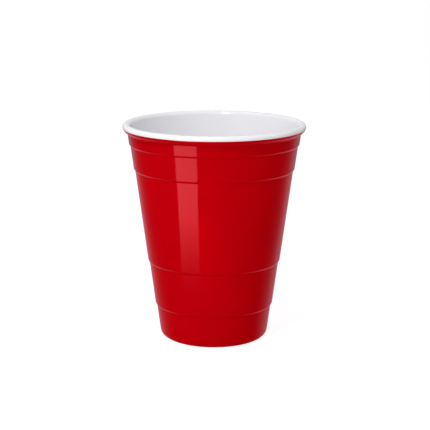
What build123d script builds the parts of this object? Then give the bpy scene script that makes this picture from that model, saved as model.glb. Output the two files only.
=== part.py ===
from build123d import *
from math import atan, cos, radians, sin, tan
import os

# A party cup moulded in one piece, red outside and white inside.
# Millimetres. The cup's axis is Z, and it stands on the plane z = 0.
# The section is drawn in the half plane of radius and height, and turned about Z.

# Overall sizes
height = 117.2
rim_diameter = 98.0
foot_diameter = 57.9  # where the line of the lowest band meets the table

# Rim: a round bead that stands out past the wall
bead_radius = 1.85
crown_angle = 82.0  # degrees up from the bead's widest line, where the rim's top turns level
rim_overhang = 2.15  # how far the bead stands out past the wall under it
parting_angle = 18.0  # degrees below the bead's widest line, where white meets red
underside_drop = 2.75  # from the parting line down the red underside to the wall
lip_radius = 2.3  # rounding on the drinking side of the rim
lip_flat_count = 2

# Steps of the outer wall, each a sloping shoulder that makes the band above it wider
step_depth = 0.63
step_rise = 1.3
steps_above_table = (18.2, 42.4)  # the middle of each low step, up from the table
steps_below_rim = (24.7, 11.3)  # the middle of each high step, down from the rim's top

# Wall and floor
wall_at_rim = 2.0
wall_at_floor = 2.4
floor_thickness = 2.4
floor_corner_radius = 6.0
floor_corner_flat_count = 1

# Foot
foot_corner_radius = 3.9
foot_corner_flat_count = 2
foot_ring_width = 3.0  # the part of the ring that the corner's rounding leaves level
recess_depth = 1.2

# Values that follow from the sizes above
rim_radius = rim_diameter / 2
foot_radius = foot_diameter / 2
bead_centre = (rim_radius - bead_radius, height - bead_radius * sin(radians(crown_angle)))
step_heights = steps_above_table + tuple(height - drop for drop in steps_below_rim)
steps_width = step_depth * len(step_heights)
wall_slope = (rim_radius - rim_overhang - foot_radius - steps_width) / bead_centre[1]
floor_top = recess_depth + floor_thickness


def band_radius(z, steps_passed):
    """Outside radius of a band at height z, with that many steps below it."""
    return foot_radius + wall_slope * z + step_depth * steps_passed


def turned_corner(before, corner, after, radius, flat_count):
    """Points that take a line round a corner in a few flats, each touching the corner's arc.

    The arc's radius is limited by the shorter of the two lines that meet there.
    """
    before, corner, after = Vector(before), Vector(corner), Vector(after)
    along = (corner - before).normalized()
    turn = along.get_signed_angle(after - corner, Vector(0, 0, 1))
    half_turn = radians(abs(turn)) / 2
    reach = min(radius * tan(half_turn), (corner - before).length, (after - corner).length)
    half_flat = reach * tan(half_turn / (flat_count + 1)) / tan(half_turn)
    points = [corner - along * (reach - half_flat)]
    for _ in range(flat_count):
        along = along.rotate(Axis.Z, turn / (flat_count + 1))
        points.append(points[-1] + along * 2 * half_flat)
    return points


def foot_points():
    """The recess, the foot ring and the foot's corner, from the axis outwards."""
    corner_reach = foot_corner_radius * tan((radians(90) - atan(wall_slope)) / 2)
    ring_inside = foot_radius - corner_reach - foot_ring_width
    ring_edge = (ring_inside, 0)
    step = (band_radius(step_heights[0], 0), step_heights[0])
    sides = (ring_edge, (foot_radius, 0), step)
    corner = turned_corner(*sides, foot_corner_radius, foot_corner_flat_count)
    return [(0, recess_depth), (ring_inside - recess_depth, recess_depth), ring_edge, *corner]


def step_points():
    """The foot and the top of each shoulder, from the lowest up."""
    points = []
    for passed, middle in enumerate(step_heights):
        foot, top = middle - step_rise / 2, middle + step_rise / 2
        points += [(band_radius(foot, passed), foot), (band_radius(top, passed + 1), top)]
    return points


def on_bead(angle):
    """The point of the bead's circle at that many degrees up from its widest line."""
    turn = radians(angle)
    return bead_centre[0] + bead_radius * cos(turn), bead_centre[1] + bead_radius * sin(turn)


def underside_points():
    """The bead's red underside, from the wall out to the line where white meets red."""
    parting = on_bead(-parting_angle)
    on_wall = parting[1] - underside_drop
    return [(band_radius(on_wall, len(step_heights)), on_wall), parting]


def inside_points():
    """The drinking side of the rim, the smooth inner wall and the floor."""
    crown = on_bead(crown_angle)
    mouth = (band_radius(height, len(step_heights)) - wall_at_rim, height)
    corner = (band_radius(floor_top, 0) - wall_at_floor, floor_top)
    centre = (0, floor_top)
    lip = turned_corner(crown, mouth, corner, lip_radius, lip_flat_count)
    floor = turned_corner(mouth, corner, centre, floor_corner_radius, floor_corner_flat_count)
    return [crown, *lip, *floor, centre]


def cup():
    """The section turned once about the axis."""
    with BuildPart() as part:
        with BuildSketch(Plane.XZ):
            with BuildLine():
                Polyline(*foot_points(), *step_points(), *underside_points())
                CenterArc(bead_centre, bead_radius, -parting_angle, crown_angle + parting_angle)
                Polyline(*inside_points())
                Line((0, floor_top), (0, recess_depth))
            make_face()
        revolve(axis=Axis.Z)
    return part.part


os.makedirs("parts", exist_ok=True)
export_step(cup(), "parts/cup.step")
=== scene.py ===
from math import atan, atan2, ceil, cos, hypot, pi, radians, sin, tan

import bpy
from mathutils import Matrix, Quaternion, Vector

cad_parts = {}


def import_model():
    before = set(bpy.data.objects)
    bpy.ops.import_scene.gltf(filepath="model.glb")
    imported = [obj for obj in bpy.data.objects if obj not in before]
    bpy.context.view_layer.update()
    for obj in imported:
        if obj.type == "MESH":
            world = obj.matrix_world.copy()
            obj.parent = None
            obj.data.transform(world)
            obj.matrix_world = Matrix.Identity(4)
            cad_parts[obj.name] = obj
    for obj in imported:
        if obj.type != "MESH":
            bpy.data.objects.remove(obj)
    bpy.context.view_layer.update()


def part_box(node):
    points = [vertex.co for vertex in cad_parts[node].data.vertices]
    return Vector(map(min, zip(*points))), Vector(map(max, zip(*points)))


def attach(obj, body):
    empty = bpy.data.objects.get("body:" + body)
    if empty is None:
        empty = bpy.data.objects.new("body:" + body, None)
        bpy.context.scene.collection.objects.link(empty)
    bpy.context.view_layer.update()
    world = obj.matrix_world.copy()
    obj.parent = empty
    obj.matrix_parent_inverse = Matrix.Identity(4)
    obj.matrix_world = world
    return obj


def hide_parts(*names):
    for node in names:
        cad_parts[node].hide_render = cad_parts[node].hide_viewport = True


# A party cup in one piece, glossy red outside and white inside. Metres.
# The section is drawn in radius and height and turned about the cup's axis, as the solid is.

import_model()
cup_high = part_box("cup")[1]

# Sizes of the section, the same as the solid's
height = cup_high.z
rim_radius = cup_high.x
foot_radius = 0.02895
bead_radius = 0.00185
rim_overhang = 0.00215
parting_angle = radians(18)  # below the bead's widest line, where white meets red
lip_radius = 0.0023
step_depth = 0.00063
step_heights = (0.0182, 0.0424, height - 0.0247, height - 0.0113)
wall_at_rim = 0.0020
wall_at_floor = 0.0024
recess_depth = 0.0012
floor_thickness = 0.0024
floor_corner_radius = 0.006
foot_corner_radius = 0.0039
foot_ring_width = 0.003

# Sizes that only this mesh has. Its shoulders are shorter and steeper than the solid's,
# the bead's underside is round where the solid's is straight, and more corners are rounded.
step_rise = 0.0008
step_foot_radius = 0.0016
step_top_radius = 0.0006
underside_radius = 0.0043
underside_angle = radians(58)  # where that round turns straight, down to the wall
neck_radius = 0.0008
recess_corner_radius = 0.0005

# Mesh
segments_round = 256
arc_step = radians(5)
support_gap = 0.00015  # how near a straight run's extra points lie to its ends
same_point = 1e-7  # points nearer than this count as one

# Values that follow from the sizes above
floor_top = recess_depth + floor_thickness
bead_centre = (rim_radius - bead_radius, height - bead_radius)  # 0.02 mm below the solid's
underside_shift = underside_radius - bead_radius
underside_centre = (bead_centre[0] - underside_shift * cos(parting_angle),
                    bead_centre[1] + underside_shift * sin(parting_angle))
steps_width = step_depth * len(step_heights)
wall_slope = (rim_radius - rim_overhang - foot_radius - steps_width) / bead_centre[1]


def band_radius(z, steps_passed):
    """Outside radius of a band at height z, with that many steps below it."""
    return foot_radius + wall_slope * z + step_depth * steps_passed


def arc(centre, radius, start, end):
    """Points of an arc about centre, from one angle to the other, both ends included."""
    count = max(2, ceil(abs(end - start) / arc_step))
    angles = [start + (end - start) * i / count for i in range(count + 1)]
    return [(centre[0] + radius * cos(a), centre[1] + radius * sin(a)) for a in angles]


def straight(start, end):
    """Points of a straight run, with one close to each end so that the shading stays flat."""
    length = hypot(end[0] - start[0], end[1] - start[1])
    if length < 4 * support_gap:
        return [start, end]
    shares = (0, support_gap / length, 1 - support_gap / length, 1)
    return [tuple(start[i] + (end[i] - start[i]) * share for i in range(2)) for share in shares]


def rounded(points, radii):
    """Points of a run of straight lines whose corners are rounded by true arcs."""
    path = []
    here = points[0]
    for before, corner, after, radius in zip(points, points[1:], points[2:], radii):
        into = Vector(corner) - Vector(before)
        out = Vector(after) - Vector(corner)
        came, goes = atan2(into.y, into.x), atan2(out.y, out.x)
        turn = (goes - came + pi) % (2 * pi) - pi
        reach = radius * tan(abs(turn) / 2)
        start = Vector(corner) - into.normalized() * reach
        side = 1 if turn > 0 else -1
        centre = start + Vector((-into.y, into.x)).normalized() * radius * side
        first = came - side * pi / 2
        path += straight(here, tuple(start))
        path += arc(centre, radius, first, first + turn)
        here = path[-1]
    return path + straight(here, points[-1])


def outside_points():
    """The foot, the stepped wall and the red underside, out to where white meets red."""
    corner_reach = foot_corner_radius * tan((pi / 2 - atan(wall_slope)) / 2)
    ring_inside = foot_radius - corner_reach - foot_ring_width
    points = [(0, recess_depth), (ring_inside - recess_depth, recess_depth)]
    points += [(ring_inside, 0), (foot_radius, 0)]
    radii = [recess_corner_radius, recess_corner_radius, foot_corner_radius]
    for passed, middle in enumerate(step_heights):
        foot, top = middle - step_rise / 2, middle + step_rise / 2
        points += [(band_radius(foot, passed), foot), (band_radius(top, passed + 1), top)]
        radii += [step_foot_radius, step_top_radius]
    underside = arc(underside_centre, underside_radius, -underside_angle, -parting_angle)
    points += [neck_corner(underside[0]), underside[0]]
    radii.append(neck_radius)
    return rounded(points, radii) + underside


def neck_corner(start):
    """Where the underside's straight run, from that start, would meet the wall."""
    radius, z = start
    gap = radius - band_radius(z, len(step_heights))
    run = gap / (sin(underside_angle) - wall_slope * cos(underside_angle))
    return radius - run * sin(underside_angle), z - run * cos(underside_angle)


def inside_points():
    """The bead's white top, the drinking side of the rim, the inner wall and the floor."""
    mouth = (band_radius(height, len(step_heights)) - wall_at_rim, height)
    corner = (band_radius(floor_top, 0) - wall_at_floor, floor_top)
    lip_room = (bead_centre[0] - mouth[0]) / tan((pi / 2 - atan(inner_slope(mouth, corner))) / 2)
    top = arc(bead_centre, bead_radius, -parting_angle, pi / 2)
    radii = [min(lip_radius, lip_room), floor_corner_radius]
    return top + rounded([top[-1], mouth, corner, (0, floor_top)], radii)


def inner_slope(mouth, corner):
    """How much wider the inner wall gets for each unit of height."""
    return (mouth[0] - corner[0]) / (mouth[1] - corner[1])


def without_repeats(points):
    """The points, less those that count as one with the point kept before them."""
    kept = [points[0]]
    for point in points[1:]:
        if hypot(point[0] - kept[-1][0], point[1] - kept[-1][1]) > same_point:
            kept.append(point)
    return kept


def lathe(name, runs):
    """A closed mesh of the runs turned about Z. Each run of points has its own material."""
    profile = []
    slots = []
    for slot, points in enumerate(runs):
        fresh = without_repeats(profile[-1:] + points)
        slots += [slot] * (len(fresh) - 1)
        profile += fresh[1:] if profile else fresh
    angles = [2 * pi * i / segments_round for i in range(segments_round)]
    rings = profile[1:-1]
    vertices = [(0, 0, profile[0][1]), (0, 0, profile[-1][1])]
    vertices += [(r * cos(a), r * sin(a), z) for r, z in rings for a in angles]
    first, last = 2, 2 + (len(rings) - 1) * segments_round
    faces = []
    face_slots = []
    for i in range(segments_round):
        j = (i + 1) % segments_round
        faces.append((0, first + j, first + i))
        face_slots.append(slots[0])
        for k in range(len(rings) - 1):
            below = first + k * segments_round
            above = below + segments_round
            faces.append((below + i, below + j, above + j, above + i))
            face_slots.append(slots[k + 1])
        faces.append((last + i, last + j, 1))
        face_slots.append(slots[-1])
    mesh = bpy.data.meshes.new(name)
    mesh.from_pydata(vertices, [], faces)
    mesh.polygons.foreach_set("material_index", face_slots)
    mesh.polygons.foreach_set("use_smooth", [True] * len(faces))
    mesh.update()
    piece = bpy.data.objects.new(name, mesh)
    bpy.context.scene.collection.objects.link(piece)
    return piece


# Looks of the two colours
plain = (1, 1, 1, 1)
refraction = 1.5
ripple_height = 0.000004
noise_middle = (0.3, 0.7)  # the stretch that most of a noise lies in
colour_noise = (45, 3)  # scale and detail, as for the next two
gloss_noise = (160, 4)
ripple_noise = (90, 2)


def new_material(name):
    """A material with an empty node tree, and that tree."""
    material = bpy.data.materials.new(name)
    material.use_nodes = True
    tree = material.node_tree
    tree.nodes.clear()
    return material, tree


def to_surface(tree, shader, kind="ShaderNodeOutputMaterial"):
    """Make the shader the one that the tree puts out."""
    output = tree.nodes.new(kind)
    tree.links.new(shader, output.inputs["Surface"])


def noise(tree, position, scale, detail):
    """Noise over the object's own place, about 0.5 on average."""
    node = tree.nodes.new("ShaderNodeTexNoise")
    node.inputs["Scale"].default_value = scale
    node.inputs["Detail"].default_value = detail
    tree.links.new(position, node.inputs["Vector"])
    return node.outputs["Fac"]


def spread(tree, value, low, high):
    """The middle stretch of a noise, spread from low to high."""
    node = tree.nodes.new("ShaderNodeMapRange")
    node.inputs["From Min"].default_value = noise_middle[0]
    node.inputs["From Max"].default_value = noise_middle[1]
    node.inputs["To Min"].default_value = low
    node.inputs["To Max"].default_value = high
    tree.links.new(value, node.inputs["Value"])
    return node.outputs["Result"]


def moulded(name, dark, light, roughness, specular_tint, scatter=None):
    """A moulded surface: faint shifts of colour and gloss, and a ripple too low to see as relief.

    Scatter says how far red, green and blue light go under the surface, if they do.
    """
    material, tree = new_material(name)
    position = tree.nodes.new("ShaderNodeTexCoord").outputs["Object"]
    surface = tree.nodes.new("ShaderNodeBsdfPrincipled")
    to_surface(tree, surface.outputs["BSDF"])
    surface.inputs["IOR"].default_value = refraction
    surface.inputs["Specular Tint"].default_value = specular_tint
    surface.inputs["Subsurface Weight"].default_value = 1 if scatter else 0
    surface.inputs["Subsurface Radius"].default_value = scatter or (1, 1, 1)
    surface.inputs["Subsurface Scale"].default_value = 1

    colour = tree.nodes.new("ShaderNodeMix")
    colour.data_type = "RGBA"
    colour.inputs["A"].default_value = (*dark, 1)
    colour.inputs["B"].default_value = (*light, 1)
    share = spread(tree, noise(tree, position, *colour_noise), 0, 1)
    tree.links.new(share, colour.inputs["Factor"])
    tree.links.new(colour.outputs["Result"], surface.inputs["Base Color"])

    gloss = spread(tree, noise(tree, position, *gloss_noise), *roughness)
    tree.links.new(gloss, surface.inputs["Roughness"])

    bump = tree.nodes.new("ShaderNodeBump")
    bump.inputs["Strength"].default_value = 1
    bump.inputs["Distance"].default_value = ripple_height
    tree.links.new(noise(tree, position, *ripple_noise), bump.inputs["Height"])
    tree.links.new(bump.outputs["Normal"], surface.inputs["Normal"])
    return material


def red():
    """Glossy red, whose reflections are red except at a glancing angle."""
    return moulded("cup_red", dark=(0.572, 0.0, 0.0042), light=(0.597, 0.0, 0.0052),
                   roughness=(0.05, 0.08), specular_tint=(1.0, 0.25, 0.28, 1),
                   scatter=(0.003, 0.0002, 0.0002))


def white():
    """White with a softer gloss."""
    return moulded("cup_white", dark=(0.962, 0.957, 0.987), light=(0.977, 0.972, 0.995),
                   roughness=(0.12, 0.16), specular_tint=plain)


cup = lathe("party_cup", [outside_points(), inside_points()])
cup.data.materials.append(red())
cup.data.materials.append(white())
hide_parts("cup")
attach(cup, "root")


# The camera of the photograph
view_distance = 0.6821
view_elevation = radians(12.645)
view_roll = 0.003
view_target = Vector((0.00049, 0, 0.0666))
lens_length = 105.2  # millimetres, as the sensor's width
sensor_width = 36
view_end = 50


def camera():
    """The camera at the photograph's distance and angle."""
    data = bpy.data.cameras.new("camera")
    data.lens = lens_length
    data.sensor_width = sensor_width
    data.clip_end = view_end
    eye = bpy.data.objects.new("camera", data)
    bpy.context.scene.collection.objects.link(eye)
    back = Vector((0, -cos(view_elevation), sin(view_elevation)))
    eye.location = view_target + back * view_distance
    eye.rotation_mode = "QUATERNION"
    eye.rotation_quaternion = Quaternion(back, view_roll) @ back.to_track_quat("Z", "Y")
    bpy.context.scene.camera = eye


camera()


# Stage and light. X is to the right and Y to the back, both from the cup's axis.
# Gloss sees another floor and world than the camera does, and a card besides. They are
# fitted to the reflections in the photo.
# A pair named as ends gives the places where something is nothing and where it is whole.
pure_red = (1, 0, 0, 1)

# The floor, as the camera and as all but gloss see it: its matt level and its own light
floor_half = 12.0
floor_for_camera = (0.25, 0.9)
floor_for_others = (0.55, 0.3)

# The bright part of the floor that gloss sees, behind the cup. Its light depends on the
# bearing from a point in front of the cup's axis, straight back and then to the right.
backdrop_pivot = 0.0462
backdrop_bearing = radians(4.35)
backdrop_spread = radians(34.3)  # how far to each side the light falls to 1/e
backdrop_widening = radians(3.7)  # how much wider it is near the cup
widening_ends = (0.25, 0.11)
backdrop_level = 0.84
backdrop_most = 0.29  # the light is held at this in the middle
backdrop_tint = (1.0, 0.95, 1.15, 1)
backdrop_ends = (-0.025, -0.002)

# Red light painted on the floor for gloss alone, like the light that a red cup throws:
# a glow all round the cup, and a patch on the side of the key lamp
glow_level = 0.3
glow_ends = (0.52, 0.3)
bounce_level = 1.75
bounce_centre = (-0.056, -0.136)
bounce_half = (0.09, 0.048)  # how far from its centre the patch falls to 1/e

# The card
card_corners = [(-0.262, -0.204), (-0.068, -0.057), (-0.0285, -0.080),
                (-0.076, -0.184), (-0.119, -0.297)]
card_height = 0.0003
card_ends = (0.05, 0.215)
card_power = 2
card_level = 3.15
card_tint = (1.2, 0.88, 0.92, 1)

# The world: its light on matt surfaces, less some low down on the right, and its gloss
world_matt = 0.416
world_gloss = 0.72
dim_share = 0.6
dim_low_ends = (0.65, 0.1)
dim_right_ends = (-0.1, 0.8)

# The lamps: name, place, size, power and whether gloss shows them
lamps = [
    ("key", (-0.174, -0.48, 0.774), 0.12, 2.69, True),
    ("side", (-0.52, -0.63, 0.26), 0.5, 1.24, False),
    ("top", (0, 0, 1.4), 0.9, 1.85, False),
]


def plane(name, corners):
    """A flat stage piece through those corners."""
    mesh = bpy.data.meshes.new(name)
    mesh.from_pydata(corners, [], [tuple(range(len(corners)))])
    piece = bpy.data.objects.new(name, mesh)
    bpy.context.scene.collection.objects.link(piece)
    return piece


def feed(tree, socket, value):
    """Give a socket its value, a number or another node's output."""
    if isinstance(value, (int, float)):
        socket.default_value = value
    else:
        tree.links.new(value, socket)


def math_node(tree, operation, *values):
    """A maths node; each value is a number or another node's output."""
    node = tree.nodes.new("ShaderNodeMath")
    node.operation = operation
    for socket, value in zip(node.inputs, values):
        feed(tree, socket, value)
    return node.outputs["Value"]


def product(tree, first, *others):
    """All the values multiplied."""
    for value in others:
        first = math_node(tree, "MULTIPLY", first, value)
    return first


def offset(tree, value, centre, half):
    """How many halves the value is from the centre."""
    return math_node(tree, "DIVIDE", math_node(tree, "SUBTRACT", value, centre), half)


def bell(tree, square):
    """1 where the square is 0, falling to 1/e where it is 1."""
    return math_node(tree, "EXPONENT", product(tree, square, -1))


def smooth_range(tree, value, ends):
    """0 at the first end and beyond it, 1 at the second and beyond it, and smooth between."""
    nothing, whole = ends
    rises = nothing < whole
    node = tree.nodes.new("ShaderNodeMapRange")
    node.interpolation_type = "SMOOTHSTEP"
    node.inputs["From Min"].default_value = min(ends)
    node.inputs["From Max"].default_value = max(ends)
    node.inputs["To Min"].default_value = 0 if rises else 1
    node.inputs["To Max"].default_value = 1 if rises else 0
    tree.links.new(value, node.inputs["Value"])
    return node.outputs["Result"]


def by_axis(tree, vector):
    """The outputs X, Y and Z of a vector."""
    node = tree.nodes.new("ShaderNodeSeparateXYZ")
    tree.links.new(vector, node.inputs["Vector"])
    return node.outputs


def length_of(tree, vector):
    """The length of a vector."""
    node = tree.nodes.new("ShaderNodeVectorMath")
    node.operation = "LENGTH"
    tree.links.new(vector, node.inputs[0])
    return node.outputs["Value"]


def emission(tree, strength, tint=plain):
    """A light shader of that strength, a number or another node's output."""
    node = tree.nodes.new("ShaderNodeEmission")
    node.inputs["Color"].default_value = tint
    feed(tree, node.inputs["Strength"], strength)
    return node.outputs["Emission"]


def diffuse(tree, level):
    """A plain matt grey shader."""
    node = tree.nodes.new("ShaderNodeBsdfDiffuse")
    node.inputs["Color"].default_value = (level, level, level, 1)
    return node.outputs["BSDF"]


def mixed(tree, share, first, second):
    """The second shader by that share, over the first."""
    node = tree.nodes.new("ShaderNodeMixShader")
    for socket, value in zip(node.inputs, (share, first, second)):
        tree.links.new(value, socket)
    return node.outputs["Shader"]


def added(tree, first, second):
    """Both shaders together."""
    node = tree.nodes.new("ShaderNodeAddShader")
    for socket, value in zip(node.inputs, (first, second)):
        tree.links.new(value, socket)
    return node.outputs["Shader"]


def bounce(tree, place):
    """The painted patch of red light on the floor."""
    across = offset(tree, place["X"], bounce_centre[0], bounce_half[0])
    along = offset(tree, place["Y"], bounce_centre[1], bounce_half[1])
    square = math_node(tree, "ADD", product(tree, across, across), product(tree, along, along))
    return emission(tree, product(tree, bell(tree, square), bounce_level), pure_red)


def floor():
    """A white floor. Gloss sees it bright behind the cup, fading to both sides, with painted red
    light round the cup and a painted red patch.
    """
    sides = ((-1, -1), (1, -1), (1, 1), (-1, 1))
    piece = plane("floor", [(x * floor_half, y * floor_half, 0) for x, y in sides])
    material, tree = new_material("floor_white")
    ray = tree.nodes.new("ShaderNodeLightPath").outputs
    position = tree.nodes.new("ShaderNodeNewGeometry").outputs["Position"]
    place = by_axis(tree, position)
    distance = length_of(tree, position)

    ahead = math_node(tree, "ADD", place["Y"], backdrop_pivot)
    bearing = math_node(tree, "ARCTAN2", place["X"], ahead)
    near = smooth_range(tree, distance, widening_ends)
    width = math_node(tree, "ADD", product(tree, near, backdrop_widening), backdrop_spread)
    off = offset(tree, bearing, backdrop_bearing, width)
    fading = product(tree, bell(tree, product(tree, off, off)), backdrop_level)
    held = math_node(tree, "MINIMUM", fading, backdrop_most)
    backdrop = product(tree, held, smooth_range(tree, place["Y"], backdrop_ends))
    glow = product(tree, smooth_range(tree, distance, glow_ends), glow_level)

    for_gloss = added(tree, emission(tree, backdrop, backdrop_tint), emission(tree, glow, pure_red))
    for_gloss = added(tree, for_gloss, bounce(tree, place))
    for_camera, for_others = [added(tree, diffuse(tree, matt), emission(tree, own))
                              for matt, own in (floor_for_camera, floor_for_others)]
    plainly = mixed(tree, ray["Is Camera Ray"], for_others, for_camera)
    to_surface(tree, mixed(tree, ray["Is Glossy Ray"], plainly, for_gloss))
    piece.data.materials.append(material)


def glossy_card():
    """A bright card on the floor, left of the camera, that only the cup's gloss shows. It carries
    the painted red patch of light too.
    """
    piece = plane("gloss_card", [(x, y, card_height) for x, y in card_corners])
    material, tree = new_material("gloss_card_light")
    position = tree.nodes.new("ShaderNodeNewGeometry").outputs["Position"]
    rise = smooth_range(tree, length_of(tree, position), card_ends)
    strength = product(tree, math_node(tree, "POWER", rise, card_power), card_level)
    card = emission(tree, strength, card_tint)
    to_surface(tree, added(tree, card, bounce(tree, by_axis(tree, position))))
    piece.data.materials.append(material)
    for kind in ("camera", "diffuse", "transmission", "volume_scatter", "shadow"):
        setattr(piece, "visible_" + kind, False)


def world():
    """A soft light, even but for a dimmer part low on the right. The camera sees it white."""
    made = bpy.data.worlds.new("world")
    made.use_nodes = True
    tree = made.node_tree
    tree.nodes.clear()
    ray = tree.nodes.new("ShaderNodeLightPath").outputs
    toward = by_axis(tree, tree.nodes.new("ShaderNodeTexCoord").outputs["Generated"])
    low = smooth_range(tree, toward["Z"], dim_low_ends)
    right = smooth_range(tree, toward["X"], dim_right_ends)
    left_over = math_node(tree, "SUBTRACT", 1, product(tree, low, right, dim_share))
    matt = product(tree, ray["Is Diffuse Ray"], world_matt, left_over)
    gloss = product(tree, ray["Is Glossy Ray"], world_gloss)
    unseen = math_node(tree, "MAXIMUM", matt, gloss)
    background = tree.nodes.new("ShaderNodeBackground")
    background.inputs["Color"].default_value = plain
    strength = math_node(tree, "MAXIMUM", ray["Is Camera Ray"], unseen)
    tree.links.new(strength, background.inputs["Strength"])
    to_surface(tree, background.outputs["Background"], "ShaderNodeOutputWorld")
    bpy.context.scene.world = made


def softbox(name, place, size, power, in_gloss):
    """A square soft light at that place, turned to the cup's middle."""
    data = bpy.data.lights.new(name, "AREA")
    data.size = size
    data.energy = power
    lamp = bpy.data.objects.new(name, data)
    bpy.context.scene.collection.objects.link(lamp)
    lamp.location = place
    away = Vector(place) - Vector((0, 0, height / 2))
    lamp.rotation_mode = "QUATERNION"
    lamp.rotation_quaternion = away.to_track_quat("Z", "Y")
    lamp.visible_glossy = in_gloss


floor()
glossy_card()
world()
for lamp in lamps:
    softbox(*lamp)

bpy.context.scene.view_settings.view_transform = "Standard"
